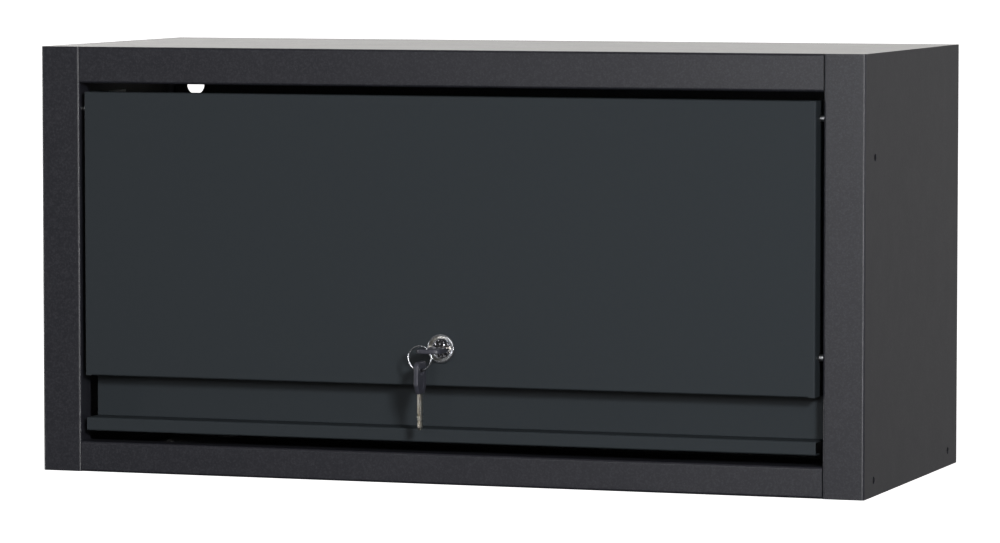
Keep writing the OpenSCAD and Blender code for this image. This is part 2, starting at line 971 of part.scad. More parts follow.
// Moulded head over the root of the blade, slotted for the ring, with sunk grip panels
module head() {
  root = 2;
  slot_y = -head_l + head_edge + head_slot_w / 2;
  slot_side = (head_slot_l - head_slot_w) / 2;
  panel_y = -(head_l - head_edge - head_slot_w) / 2;
  panel_sink = 0.4;
  panel_r = 4.5;
  color(key_black)
    difference() {
      translate([0, 0, -head_t / 2])
        linear_extrude(head_t)
          difference() {
            head_outline();
            for (side = [-1, 1])
              translate([side * slot_side, slot_y])
                circle(d = head_slot_w);
            translate([-slot_side, slot_y - head_slot_w / 2])
              square([2 * slot_side, head_slot_w]);
          }
      translate([-blade_w / 2, -root, -blade_t / 2])
        cube([blade_w, root + 1, blade_t]);
      for (side = [-1, 1])
        translate([0, panel_y, side * (head_t / 2 + 1 - panel_sink) - 1])
          cylinder(r = panel_r, h = 2);
    }
}

// Key that stands in the lock, turned flat
module in_lock() {
  translate([0, door_front - head_near, lock_z])
    children();
}

module key_blade() {
  in_lock() blade();
}

module key_head() {
  in_lock() head();
}

// Split ring of two turns
module key_ring() {
  color(chrome)
    for (side = [-1, 1])
      translate([ring_x, ring_y + side * coil_step / 2, ring_z])
        rotate([90, 0, 0])
          rotate_extrude()
            translate([ring_r, 0])
              circle(d = ring_wire, $fn = 24);
}

// Spare key that hangs from the bottom of the ring, edge on to the front
module from_ring() {
  top_z = ring_z - ring_r + ring_wire / 2 + spare_seat + head_edge;
  translate([ring_x, ring_y, top_z - head_l])
    rotate([0, 0, 90])
      rotate([-90, 0, 0])
        children();
}

module spare_key_blade() {
  from_ring() blade();
}

module spare_key_head() {
  from_ring() head();
}

left_side();
right_side();
top_panel();
bottom_panel();
back_panel();
left_hinge_pin();
right_hinge_pin();
left_stay_bracket();
right_stay_bracket();
left_bracket_stud();
right_bracket_stud();
left_door_stop();
right_door_stop();
left_stop_buffer();
right_stop_buffer();
door_panel();
left_hinge_bush();
right_hinge_bush();
left_door_stud();
right_door_stud();
left_latch_guide();
right_latch_guide();
lock_body();
lock_nut();
lock_plug();
lock_cam();
cam_screw();
left_latch_rod();
right_latch_rod();
left_stay_tube();
right_stay_tube();
left_stay_guide();
right_stay_guide();
left_stay_rod();
right_stay_rod();
key_blade();
key_head();
key_ring();
spare_key_blade();
spare_key_head();
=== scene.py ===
# %% [markdown]
# # A wall-hung tool cabinet, dressed for the camera
#
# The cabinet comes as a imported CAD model: folded steel casing, flip-up door, lock with its latch
# rods, two telescopic stays and two keys on a split ring. Its shapes are right, so most of this
# lesson is about edges, finishes and light. Three kinds of piece are modelled here, because a
# coil, a screw thread and soft moulded edges suit a mesh better than a solid: the split ring, the
# thread on the lock's barrel and the two key heads.
#
# The first cell loads the model. Every named part becomes an object at the origin, with its place
# in its mesh, in metres: x to the right, y towards the wall, z up. Small sizes are easier to read
# in millimetres, so `MM` turns them into metres.

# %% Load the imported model
import math

import bmesh
import bpy
from mathutils import Matrix, Vector


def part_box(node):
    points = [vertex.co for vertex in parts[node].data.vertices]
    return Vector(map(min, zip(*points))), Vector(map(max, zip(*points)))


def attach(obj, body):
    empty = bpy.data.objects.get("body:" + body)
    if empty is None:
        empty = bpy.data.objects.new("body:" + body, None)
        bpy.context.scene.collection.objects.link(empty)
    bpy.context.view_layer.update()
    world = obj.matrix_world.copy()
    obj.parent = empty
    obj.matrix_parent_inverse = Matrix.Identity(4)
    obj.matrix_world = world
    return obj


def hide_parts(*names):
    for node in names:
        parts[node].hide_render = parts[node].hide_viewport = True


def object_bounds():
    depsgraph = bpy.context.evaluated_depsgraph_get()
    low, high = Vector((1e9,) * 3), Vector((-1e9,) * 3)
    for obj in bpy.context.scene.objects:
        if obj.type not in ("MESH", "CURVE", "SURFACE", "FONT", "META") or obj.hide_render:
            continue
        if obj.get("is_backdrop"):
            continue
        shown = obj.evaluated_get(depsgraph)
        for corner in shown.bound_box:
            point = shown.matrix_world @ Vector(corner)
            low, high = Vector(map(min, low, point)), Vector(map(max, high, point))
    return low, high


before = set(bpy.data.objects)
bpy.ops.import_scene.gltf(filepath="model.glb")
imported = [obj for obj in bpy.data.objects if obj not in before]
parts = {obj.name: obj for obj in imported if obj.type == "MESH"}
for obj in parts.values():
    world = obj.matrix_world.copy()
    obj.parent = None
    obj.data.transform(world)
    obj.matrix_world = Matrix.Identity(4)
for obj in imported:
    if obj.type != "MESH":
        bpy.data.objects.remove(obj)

MM = 0.001
cad_low, cad_high = (Vector(corner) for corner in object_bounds())

# %% [markdown]
# ## Camera
#
# The photograph was taken from the right and a little above, with a long lens: the upright edges
# stay almost upright and the top shows as a thin strip. A camera can be placed by eye, but one
# fitted to the corners of the cabinet is surer: that gives its place, its turn, its tilt and its
# focal length. There is no shift and no depth of field.

# %% Put the camera where the photographer stood
LENS_MM = 190.4
CAMERA_PLACE = Vector((1.413, -4.144, 0.470))
CAMERA_TURN = math.radians(18.86)
CAMERA_TILT = math.radians(-4.02)
VIEW_REACH = 400.0

camera_data = bpy.data.cameras.new("camera")
camera_data.lens = LENS_MM
camera_data.clip_end = VIEW_REACH
camera = bpy.data.objects.new("camera", camera_data)
camera.location = CAMERA_PLACE
camera.rotation_euler = (math.radians(90) + CAMERA_TILT, 0, CAMERA_TURN)
bpy.context.scene.collection.objects.link(camera)
bpy.context.scene.camera = camera
print("camera", round(CAMERA_PLACE.length, 2), "m from the cabinet")

# %% [markdown]
# ## Writing node trees as sums
#
# Nodes can be drawn and linked one by one, but a finish is easier to read as arithmetic. `Nodes`
# writes in one node tree: its only method makes any node, sets its properties and fills its
# inputs. `Wire` stands for one number in such a tree, and Python's own operators on it add the
# Math nodes.

# %% Nodes and wires
class Nodes:
    """Writes the nodes of one tree."""

    def __init__(self, tree):
        self.tree = tree

    def node(self, kind, settings=None, inputs=None):
        """Makes a node, sets its properties and fills its inputs with wires, sockets or values."""
        made = self.tree.nodes.new(kind)
        for name, value in (settings or {}).items():
            setattr(made, name, value)
        for name, value in (inputs or {}).items():
            if isinstance(value, Wire):
                self.tree.links.new(value.socket, made.inputs[name])
            elif isinstance(value, bpy.types.NodeSocket):
                self.tree.links.new(value, made.inputs[name])
            else:
                made.inputs[name].default_value = value
        return made


class Wire:
    """One number in a node tree."""

    def __init__(self, nodes, socket):
        self.nodes = nodes
        self.socket = socket

    def combine(self, operation, first, second):
        made = self.nodes.node("ShaderNodeMath", {"operation": operation}, {0: first, 1: second})
        return Wire(self.nodes, made.outputs[0])

    def __add__(self, other):
        return self.combine("ADD", self, other)

    __radd__ = __add__

    def __rsub__(self, other):
        return self.combine("SUBTRACT", other, self)

    def __mul__(self, other):
        return self.combine("MULTIPLY", self, other)

    __rmul__ = __mul__

    def rise(self, low, high):
        """0 below low and 1 above high, with a soft step between."""
        made = self.nodes.node(
            "ShaderNodeMapRange",
            {"interpolation_type": "SMOOTHSTEP"},
            {"Value": self, "From Min": low, "From Max": high},
        )
        return Wire(self.nodes, made.outputs["Result"])


print("wires know + - * and rise")

# %% [markdown]
# ## Finishes
#
# `Finish` owns one material. It sets the constants of the Principled shader on its own sockets,
# and offers the few patterns that paint, plating and plastic need. Image textures could carry
# them too, but they need a flat layout of every part. Noise in Object coordinates needs none: its
# grain is given in real millimetres, and it stays on its part when the part moves.

# %% One material as a finish
CELLS_PER_GRAIN = 0.5


class Finish(Nodes):
    """One material: constants on the shader, patterns wired to it."""

    def __init__(self, name, colour, roughness, metallic=0.0, **constants):
        self.material = bpy.data.materials.new(name)
        self.material.use_nodes = True
        super().__init__(self.material.node_tree)
        self.shader = self.tree.nodes["Principled BSDF"]
        self.colour = (*colour, 1)
        self.shader.inputs["Base Color"].default_value = self.colour
        self.shader.inputs["Roughness"].default_value = roughness
        self.shader.inputs["Metallic"].default_value = metallic
        for socket, value in constants.items():
            self.shader.inputs[socket.replace("_", " ")].default_value = value
        self.normal = None
        self.place = self.node("ShaderNodeTexCoord").outputs["Object"]

    def noise(self, grain_mm, detail=2, stretch=(1, 1, 1)):
        """Cloudy pattern around 0.5 whose blobs are about grain_mm across."""
        scale = CELLS_PER_GRAIN / (grain_mm * MM)
        place = self.node("ShaderNodeMapping", None, {"Vector": self.place, "Scale": stretch})
        made = self.node(
            "ShaderNodeTexNoise",
            None,
            {"Vector": place.outputs["Vector"], "Scale": scale, "Detail": detail},
        )
        return Wire(self, made.outputs["Fac"])

    def specks(self, spacing_mm, size):
        """Round specks, one to a cell of spacing_mm: 1 inside a speck, 0 outside."""
        made = self.node(
            "ShaderNodeTexVoronoi",
            {"feature": "F1"},
            {"Vector": self.place, "Scale": 1 / (spacing_mm * MM)},
        )
        return 1 - Wire(self, made.outputs["Distance"]).rise(size * 0.5, size * 1.5)

    def tint(self, colour, amount):
        """Mixes a second colour into the base colour where amount is 1."""
        base = self.shader.inputs["Base Color"]
        before = base.links[0].from_socket if base.is_linked else self.colour
        made = self.node(
            "ShaderNodeMix",
            {"data_type": "RGBA"},
            {"Factor": amount, "A": before, "B": (*colour, 1)},
        )
        self.tree.links.new(made.outputs["Result"], base)

    def rough(self, amount):
        """Lets a pattern set the roughness."""
        self.tree.links.new(amount.socket, self.shader.inputs["Roughness"])

    def relief(self, height, depth_mm, strength):
        """Raises the surface by height, which runs from 0 to 1, times depth_mm."""
        inputs = {"Height": height, "Distance": depth_mm * MM, "Strength": strength}
        if self.normal is not None:
            inputs["Normal"] = self.normal
        self.normal = self.node("ShaderNodeBump", None, inputs).outputs["Normal"]
        self.tree.links.new(self.normal, self.shader.inputs["Normal"])

    def coat(self, *names):
        """Gives this finish to named objects, in place of what they had."""
        for name in names:
            slots = bpy.data.objects[name].data.materials
            slots.clear()
            slots.append(self.material)
        print(self.material.name, "on", len(names), "pieces")


print("a finish has noise, specks, tint, rough, relief and coat")

# %% [markdown]
# ## Floor
#
# The cabinet is a wall unit, so it hangs well above a plain pale floor that runs out to the
# horizon, as in a product picture. A modelled room would only colour the dark paint. The floor is
# one large face of matt paper that glows white. It lights nothing and shows in no mirror image,
# because the world and the lamps of later cells do that work.

# %% Lay the floor
FLOOR_DROP = 1.1
FLOOR_REACH = 150.0
PAPER = (0.86, 0.86, 0.86)
WHITE = (1, 1, 1, 1)


def pale_floor():
    """A plain floor far below the hanging cabinet."""
    mesh = bmesh.new()
    bmesh.ops.create_grid(mesh, x_segments=1, y_segments=1, size=FLOOR_REACH)
    bmesh.ops.translate(mesh, vec=(0, 0, -FLOOR_DROP), verts=mesh.verts)
    data = bpy.data.meshes.new("floor")
    mesh.to_mesh(data)
    mesh.free()
    floor = bpy.data.objects.new("floor", data)
    bpy.context.scene.collection.objects.link(floor)
    floor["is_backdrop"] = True
    return floor


floor = pale_floor()
floor.visible_glossy = False
floor.visible_diffuse = False
paper = Finish("paper_floor", PAPER, 0.9, Emission_Color=WHITE, Emission_Strength=1.0)
paper.rough(0.86 + 0.06 * paper.noise(grain_mm=40.0))
paper.coat("floor")

# %% [markdown]
# ## Surroundings
#
# Dark paint shows mostly what it mirrors, so the surroundings are shaped by what each face
# reflects. A backdrop model would work, but a world that is bright only towards the rear does the
# same without any geometry: the top mirrors its middle at a glancing angle, and the right side
# mirrors its edge. A weak dome overhead keeps the ledge of the pull from going black. The camera
# itself sees plain white, and the front mirrors the cards of the light cell.

# %% Light the surroundings
BACKDROP_RISE = 0.05
BACKDROP_WAY = (-math.sin(CAMERA_TURN), math.cos(CAMERA_TURN), BACKDROP_RISE)
BACKDROP_INNER = math.cos(math.radians(12))
BACKDROP_OUTER = math.cos(math.radians(35))
BACKDROP_LIGHT = 1.6
BACKDROP_TONE = (1.0, 0.985, 0.96, 1.0)
ROOM_LIGHT = 0.04
DOME_LIGHT = 0.18
DOME_LOW = 0.08
DOME_HIGH = 0.75


def studio_world():
    """White to the camera; to everything else a dim room with a bright backdrop at the rear."""
    world = bpy.data.worlds.new("studio")
    world.use_nodes = True
    tree = world.node_tree
    studio = Nodes(tree)
    way = studio.node("ShaderNodeTexCoord").outputs["Generated"]
    rearward = studio.node(
        "ShaderNodeVectorMath", {"operation": "DOT_PRODUCT"}, {0: way, 1: BACKDROP_WAY}
    )
    upward = studio.node("ShaderNodeSeparateXYZ", None, {"Vector": way})
    backdrop = Wire(studio, rearward.outputs["Value"]).rise(BACKDROP_OUTER, BACKDROP_INNER)
    dome = Wire(studio, upward.outputs["Z"]).rise(DOME_LOW, DOME_HIGH)
    light = ROOM_LIGHT + (BACKDROP_LIGHT - ROOM_LIGHT) * backdrop + DOME_LIGHT * dome
    room = tree.nodes["Background"]
    room.inputs["Color"].default_value = BACKDROP_TONE
    tree.links.new(light.socket, room.inputs["Strength"])
    white = studio.node("ShaderNodeBackground", None, {"Color": WHITE})
    ray = studio.node("ShaderNodeLightPath")
    either = studio.node(
        "ShaderNodeMixShader",
        None,
        {0: ray.outputs["Is Camera Ray"], 1: room.outputs[0], 2: white.outputs[0]},
    )
    tree.links.new(either.outputs[0], tree.nodes["World Output"].inputs["Surface"])
    bpy.context.scene.world = world


studio_world()
bpy.context.scene.view_settings.view_transform = "Standard"
print("backdrop is", round(BACKDROP_LIGHT / ROOM_LIGHT), "times as bright as the room")

# %% [markdown]
# ## Edges that catch the light
#
# Folded sheet has small round bends, and its cut edges are broken by the paint. The parts arrive
# as loose triangles with hard facets. The edges could be rounded by hand in Edit Mode, but
# modifiers do it for every part alike and leave the meshes untouched: Weld joins the triangles,
# Bevel rounds what is sharper than thirty degrees, a small node group shades as smooth every face
# whose edges are flatter than that, and Weighted Normal keeps large faces flat up to their edges.

# %% Weld, bevel and smooth the parts
SHARP = math.radians(30)
WELD_MM = 0.005
BEVEL_SEGMENTS = 2
LARGE_FACE_WEIGHT = 90


def smooth_group():
    """A node group that shades smooth, with hard edges only where faces meet sharply."""
    group = bpy.data.node_groups.new("smooth_by_angle", "GeometryNodeTree")
    group.interface.new_socket("Mesh", in_out="INPUT", socket_type="NodeSocketGeometry")
    group.interface.new_socket("Mesh", in_out="OUTPUT", socket_type="NodeSocketGeometry")
    shading = Nodes(group)
    given = shading.node("NodeGroupInput")
    angle = shading.node("GeometryNodeInputMeshEdgeAngle")
    flat_enough = shading.node(
        "FunctionNodeCompare",
        {"data_type": "FLOAT", "operation": "LESS_EQUAL"},
        {"A": angle.outputs["Unsigned Angle"], "B": SHARP},
    )
    edges = shading.node(
        "GeometryNodeSetShadeSmooth",
        {"domain": "EDGE"},
        {"Geometry": given.outputs[0], "Shade Smooth": flat_enough.outputs["Result"]},
    )
    faces = shading.node(
        "GeometryNodeSetShadeSmooth", None, {"Geometry": edges.outputs["Geometry"]}
    )
    shading.node("NodeGroupOutput", None, {0: faces.outputs["Geometry"]})
    return group


smoother = smooth_group()


def soften(thing, radius_mm):
    """Rounds the sharp edges of an object by a small radius and shades the rest smooth."""
    weld = thing.modifiers.new("weld", "WELD")
    weld.merge_threshold = WELD_MM * MM
    if radius_mm > 0:
        bevel = thing.modifiers.new("bevel", "BEVEL")
        bevel.width = radius_mm * MM
        bevel.segments = BEVEL_SEGMENTS
        bevel.limit_method = "ANGLE"
        bevel.angle_limit = SHARP
        bevel.use_clamp_overlap = True
    shade = thing.modifiers.new("smooth", "NODES")
    shade.node_group = smoother
    weighted = thing.modifiers.new("flat_faces", "WEIGHTED_NORMAL")
    weighted.keep_sharp = True
    weighted.weight = LARGE_FACE_WEIGHT


USUAL_RADIUS_MM = 0.2
EDGE_RADIUS_MM = {
    "lock_body": 0.15, "lock_plug": 0.15, "lock_nut": 0.3, "cam_screw": 0.15,
    "key_blade": 0.15, "spare_key_blade": 0.15,
}
for name, part in parts.items():
    soften(part, EDGE_RADIUS_MM.get(name, USUAL_RADIUS_MM))
print("softened", len(parts), "parts")

# %% [markdown]
# ## Powder coat on the casing
#
# The casing wears a fine-texture powder coat: charcoal with a cool cast, and a grain of about a
# millimetre that breaks up the reflections. One noise could give the grain, but it would look
# printed, so three patterns share the work: a fine noise for the grain, sparse lighter specks
# painted into the colour as the coat's tiny glints (painted highlights), and a coarse noise for the
# slow wander that baked powder always has.

# %% Casing paint
CASING = (0.0155, 0.0160, 0.0215)
CASING_LIGHT = (0.0290, 0.0290, 0.0370)
# painted glint colour: lighter specks that stand in for the tiny reflections of the textured coat
CASING_PAINTED_GLINT = (0.0520, 0.0520, 0.0600)

powder = Finish("powder_coat", CASING, 0.5)
grain = powder.noise(grain_mm=0.9, detail=3)
drift = powder.noise(grain_mm=9.0)
powder.tint(CASING_LIGHT, grain.rise(0.46, 0.66) * 0.65)
# painted highlights: sparse lighter specks in the colour stand in for the glints of the coat
powder.tint(CASING_PAINTED_GLINT, powder.specks(spacing_mm=1.7, size=0.3) * 0.3)
powder.rough(0.26 + 0.14 * grain + 0.05 * drift)
powder.relief(grain, depth_mm=0.05, strength=0.6)
powder.relief(drift, depth_mm=0.05, strength=0.3)
powder.coat(
    "left_side", "right_side", "top_panel", "bottom_panel", "back_panel",
    "left_door_stop", "right_door_stop",
)

# %% [markdown]
# ## Satin paint on the door
#
# The door is sprayed in a smoother, slightly greener slate. Its face is even, so the pattern is
# only a faint orange peel a few millimetres across and a trace of dust. A high roughness alone
# would still turn pale where light glances off the face, so a low specular level stands for the
# matting agent in the paint.

# %% Door paint
DOOR = (0.0275, 0.0335, 0.0385)
DOOR_LIGHT = (0.0335, 0.0390, 0.0445)

satin = Finish("satin_paint", DOOR, 0.5, Specular_IOR_Level=0.12)
peel = satin.noise(grain_mm=2.4)
dust = satin.noise(grain_mm=0.6)
satin.tint(DOOR_LIGHT, peel * 0.5)
satin.rough(0.50 + 0.06 * peel + 0.05 * dust)
satin.relief(peel, depth_mm=0.02, strength=0.5)
satin.coat("door_panel")

# %% [markdown]
# ## Zinc plating
#
# The pins, brackets and studs, the tubes of the stays, the latch rods and the lock's nut and cam
# are zinc-plated: a soft grey whose gloss is cloudy. Bare metal has no colour under its
# reflections, so the shader is metallic. Dull spots could be painted by hand, but one coarse
# noise does it: it darkens the metal and roughens it in the same places.

# %% Plate the small steel parts with zinc
ZINC = (0.58, 0.59, 0.60)
ZINC_DULL = (0.44, 0.46, 0.49)

zinc = Finish("zinc_plating", ZINC, 0.3, metallic=1.0)
cloud = zinc.noise(grain_mm=4.0, detail=3)
fine = zinc.noise(grain_mm=0.35)
zinc.tint(ZINC_DULL, cloud.rise(0.3, 0.7) * 0.6)
zinc.rough(0.24 + 0.16 * cloud + 0.08 * fine)
zinc.relief(fine, depth_mm=0.01, strength=0.5)
zinc.coat(
    "left_hinge_pin", "right_hinge_pin", "left_stay_bracket", "right_stay_bracket",
    "left_bracket_stud", "right_bracket_stud", "left_door_stud", "right_door_stud",
    "lock_nut", "lock_cam", "cam_screw", "left_latch_rod", "right_latch_rod",
    "left_stay_tube", "right_stay_tube",
)

# %% [markdown]
# ## Chrome
#
# The lock's body and the rods of the stays are chrome-plated: glossy, and broken by hair-fine
# scratches. A scratch could be drawn as a line in an image, but a noise squeezed along two axes
# gives thousands of them, all along x, and they soften the mirror images a little.

# %% Plate the lock with chrome
CHROME = (0.68, 0.70, 0.74)

chrome = Finish("chrome_plating", CHROME, 0.2, metallic=1.0)
hair = chrome.noise(grain_mm=0.5, detail=4, stretch=(1, 6, 6))
chrome.rough(0.13 + 0.16 * hair)
chrome.relief(hair, depth_mm=0.004, strength=0.4)
chrome.coat("lock_body", "left_stay_rod", "right_stay_rod")

# %% [markdown]
# ## The cast plug
#
# The plug that the key turns is a small casting under dark nickel, and the photograph shows it
# with patchy lights. A flat mirror would reflect one even tone. So a deep, coarse relief bends
# what it mirrors, and a fine one dulls it as a lathe does.

# %% Darken the plug
DARK_NICKEL = (0.32, 0.32, 0.34)

plug_metal = Finish("dark_nickel", DARK_NICKEL, 0.2, metallic=1.0)
turned = plug_metal.noise(grain_mm=0.4, detail=3)
cast = plug_metal.noise(grain_mm=1.4, detail=1)
plug_metal.rough(0.08 + 0.10 * turned)
plug_metal.relief(cast, depth_mm=0.9, strength=0.9)
plug_metal.relief(turned, depth_mm=0.008, strength=0.4)
plug_metal.coat("lock_plug")

# %% [markdown]
# ## Nickel on the keys
#
# The key blades are brass under nickel, worn to a warm grey by pockets. Wear could follow the
# edges, but a blade this small shows it as patches, so a coarse noise lets the warmer metal
# through and a stretched fine one draws the scuffs.

# %% Wear the key blades
NICKEL = (0.80, 0.77, 0.70)
NICKEL_WORN = (0.58, 0.50, 0.38)

nickel = Finish("key_nickel", NICKEL, 0.28, metallic=1.0)
scuffs = nickel.noise(grain_mm=0.8, detail=4, stretch=(1, 1, 5))
worn = nickel.noise(grain_mm=3.0)
nickel.tint(NICKEL_WORN, worn.rise(0.43, 0.67) * 0.6)
nickel.rough(0.20 + 0.22 * scuffs)
nickel.relief(scuffs, depth_mm=0.01, strength=0.5)
nickel.coat("key_blade", "spare_key_blade")

# %% [markdown]
# ## Nylon and black plastic
#
# The bushes are black nylon, because the gap beside the door shows no light ring round the pins.
# The guides in the stays are black plastic. Moulded surfaces copy the spark-eroded tool, so each
# has a fine grain. A model of the grain would cost millions of faces, and a bump gives the same
# glints. Nylon looks a little waxy, and so a wider noise wanders in its gloss.

# %% Nylon bushes and plastic guides
NYLON = (0.016, 0.016, 0.017)
PLASTIC = (0.018, 0.018, 0.019)

nylon = Finish("black_nylon", NYLON, 0.42)
waxy = nylon.noise(grain_mm=1.5)
pores = nylon.noise(grain_mm=0.3)
nylon.rough(0.38 + 0.12 * waxy)
nylon.relief(pores, depth_mm=0.01, strength=0.4)
nylon.coat("left_hinge_bush", "right_hinge_bush", "left_latch_guide", "right_latch_guide")

guide_plastic = Finish("guide_plastic", PLASTIC, 0.45)
spark = guide_plastic.noise(grain_mm=0.3, detail=3)
guide_plastic.rough(0.40 + 0.14 * spark)
guide_plastic.relief(spark, depth_mm=0.015, strength=0.5)
guide_plastic.coat("left_stay_guide", "right_stay_guide")

# %% [markdown]
# ## Rubber buffers
#
# The buffers that the door closes on are matt black rubber with a chalky bloom. A plain black
# would look like a hole, so a fine noise adds the bloom, and makes it both paler and rougher.

# %% Rubber
RUBBER = (0.014, 0.014, 0.014)
RUBBER_BLOOM = (0.035, 0.035, 0.034)

rubber = Finish("buffer_rubber", RUBBER, 0.75)
chalk = rubber.noise(grain_mm=0.7, detail=3)
rubber.tint(RUBBER_BLOOM, chalk.rise(0.4, 0.7) * 0.5)
rubber.rough(0.68 + 0.16 * chalk)
rubber.relief(chalk, depth_mm=0.02, strength=0.5)
rubber.coat("left_stop_buffer", "right_stop_buffer")

# %% [markdown]
# ## Split ring
#
# A split ring is one length of flattened spring wire wound twice round, its turns side by side. A
# curve with a bevel would need a point for every step of the helix. The spin operator is shorter:
# it turns the wire's oval section twice about the ring's axis while the section creeps sideways
# by its own thickness each turn. Two faces then close the ends.

# %% Wind the split ring
RING_TURNS = 2
RING_STEPS = 64
WIRE_SIDES = 14
TURN_GAP = 0.04 * MM
FLATTENING = 0.65
QUARTER_TURN = math.radians(90)

ring_low, ring_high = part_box("key_ring")
ring_middle = (ring_low + ring_high) / 2
wire_thickness = (ring_high.y - ring_low.y - RING_TURNS * TURN_GAP) / (1 + RING_TURNS)
wire_width = wire_thickness / FLATTENING
ring_radius = (ring_high.x - ring_low.x - wire_width) / 2
creep = (wire_thickness + TURN_GAP) * RING_TURNS
print("ring wire", round(wire_width / MM, 2), "by", round(wire_thickness / MM, 2), "mm")


def add_piece(name, mesh, body):
    """Turns a finished bmesh into an object that rides on a body."""
    data = bpy.data.meshes.new(name)
    mesh.to_mesh(data)
    mesh.free()
    piece = bpy.data.objects.new(name, data)
    bpy.context.scene.collection.objects.link(piece)
    for face in data.polygons:
        face.use_smooth = True
    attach(piece, body)
    print(name, "has", len(data.polygons), "faces")
    return piece


def helix(mesh, turns, climb, steps_per_turn):
    """Spins all that a mesh holds round the z axis while it climbs."""
    steps = steps_per_turn * turns
    bmesh.ops.spin(
        mesh,
        geom=mesh.verts[:] + mesh.edges[:] + mesh.faces[:],
        cent=(0, 0, 0),
        axis=(0, 0, 1),
        dvec=(0, 0, climb / steps),
        angle=math.tau * turns,
        steps=steps,
        use_merge=False,
    )


def wound_wire():
    mesh = bmesh.new()
    section = bmesh.ops.create_circle(mesh, segments=WIRE_SIDES, radius=wire_width / 2)["verts"]
    bmesh.ops.scale(mesh, vec=(1, FLATTENING, 1), verts=section)
    across = Matrix.Rotation(QUARTER_TURN, 4, "X")
    start = Matrix.Translation((ring_radius, 0, -creep / 2))
    bmesh.ops.transform(mesh, matrix=start @ across, verts=section)
    helix(mesh, RING_TURNS, creep, RING_STEPS)
    open_ends = [edge for edge in mesh.edges if edge.is_boundary]
    bmesh.ops.holes_fill(mesh, edges=open_ends, sides=WIRE_SIDES)
    bmesh.ops.recalc_face_normals(mesh, faces=mesh.faces)
    bmesh.ops.transform(mesh, matrix=Matrix.Translation(ring_middle) @ across, verts=mesh.verts)
    return mesh


split_ring = add_piece("split_ring", wound_wire(), "ring")
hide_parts("key_ring")
chrome.coat("split_ring")

# %% [markdown]
# ## Thread on the lock's barrel
#
# Behind the door the barrel is threaded for its nut and milled flat on two sides. A bump could
# fake the thread, but the barrel's outline would stay straight. The ridge here is a small
# triangle, turned about the lock's axis while it moves back one pitch a turn. Two planes then cut
# it away over the flats. The barrel's radius and its flats are measured on the solid.

# %% Cut the barrel's thread
THREAD_PITCH = 1.0 * MM
THREAD_STEPS = 40
RIDGE_HEIGHT = 0.18 * MM
RIDGE_WIDTH = 0.6 * MM
RIDGE_ROOT = 0.05 * MM
NUT_GAP = 0.4 * MM
PLAIN_END = 1.2 * MM
SAME_PLACE = 1e-7

lock_low, lock_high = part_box("lock_body")
nut_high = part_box("lock_nut")[1]
lock_axis_z = (lock_low.z + lock_high.z) / 2
thread_start = nut_high.y + NUT_GAP
thread_length = lock_high.y - PLAIN_END - thread_start
thread_turns = int(thread_length / THREAD_PITCH)
barrel = [corner.co for corner in parts["lock_body"].data.vertices if corner.co.y > nut_high.y]
barrel_radius = max(math.hypot(point.x, point.z - lock_axis_z) for point in barrel)
half_flats = max(abs(point.x) for point in barrel)
print("barrel radius", round(barrel_radius / MM, 2), "mm, half flats", round(half_flats / MM, 2))


def thread_ridge():
    mesh = bmesh.new()
    foot = barrel_radius - RIDGE_ROOT
    crest = barrel_radius + RIDGE_HEIGHT
    corners = ((foot, 0, 0), (crest, 0, RIDGE_WIDTH / 2), (foot, 0, RIDGE_WIDTH))
    mesh.faces.new([mesh.verts.new(corner) for corner in corners])
    helix(mesh, thread_turns, THREAD_PITCH * thread_turns, THREAD_STEPS)
    for side in (-1, 1):
        bmesh.ops.bisect_plane(
            mesh,
            geom=mesh.verts[:] + mesh.edges[:] + mesh.faces[:],
            plane_co=(side * half_flats, 0, 0),
            plane_no=(side, 0, 0),
            clear_outer=True,
            dist=SAME_PLACE,
        )
    cut_ends = [edge for edge in mesh.edges if edge.is_boundary]
    bmesh.ops.holes_fill(mesh, edges=cut_ends, sides=4)
    bmesh.ops.recalc_face_normals(mesh, faces=mesh.faces)
    backwards = Matrix.Rotation(-QUARTER_TURN, 4, "X")
    on_the_lock = Matrix.Translation((0, thread_start, lock_axis_z))
    bmesh.ops.transform(mesh, matrix=on_the_lock @ backwards, verts=mesh.verts)
    return mesh


barrel_thread = add_piece("barrel_thread", thread_ridge(), "door")
zinc.coat("barrel_thread")

# %% [markdown]
# ## Outlines of a key head
#
# A moulded key head has no sharp edge anywhere. A Bevel modifier on the solid would stumble where
# its rounded outline meets the slot and the round grip panel, so the head is lofted instead. Its
# outline is a row of round corners, each found from the two directions its edges face, so the
# same outline can be drawn smaller by any inset. The slot for the ring is two half circles, and
# the grip panel is a full one.

# %% Draw the outlines, in millimetres
HEAD_CORNER = 5.0
HEAD_SHOULDER = 3.0
HEAD_SHOULDER_Y = -7.0
HEAD_WAIST = 1.0
HEAD_WAIST_HALF = 6.0
SLOT_Y = -17.7
SLOT_HALF = 2.0
SLOT_RADIUS = 2.5
PANEL_Y = -7.6
CORNER_STEPS = 8

head_low, head_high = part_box("key_head")
head_width, head_length, head_thickness = (head_high - head_low) / MM
head_half = head_width / 2
print("key head", round(head_width, 2), "by", round(head_length, 2), "mm")


def facing(degrees):
    return Vector((math.cos(math.radians(degrees)), math.sin(math.radians(degrees))))


def arc(centre, start, end, radius, steps):
    step = (end - start) / steps
    return [Vector(centre) + facing(start + step * k) * radius for k in range(steps + 1)]


def round_corner(corner, start, end, radius, inset):
    """Points of an arc that rounds a corner between edges that face two angles."""
    first, second = facing(start), facing(end)
    centre = Vector(corner) - (first + second) * (radius / (1 + first.dot(second)))
    return arc(centre, start, end, radius - inset, CORNER_STEPS)


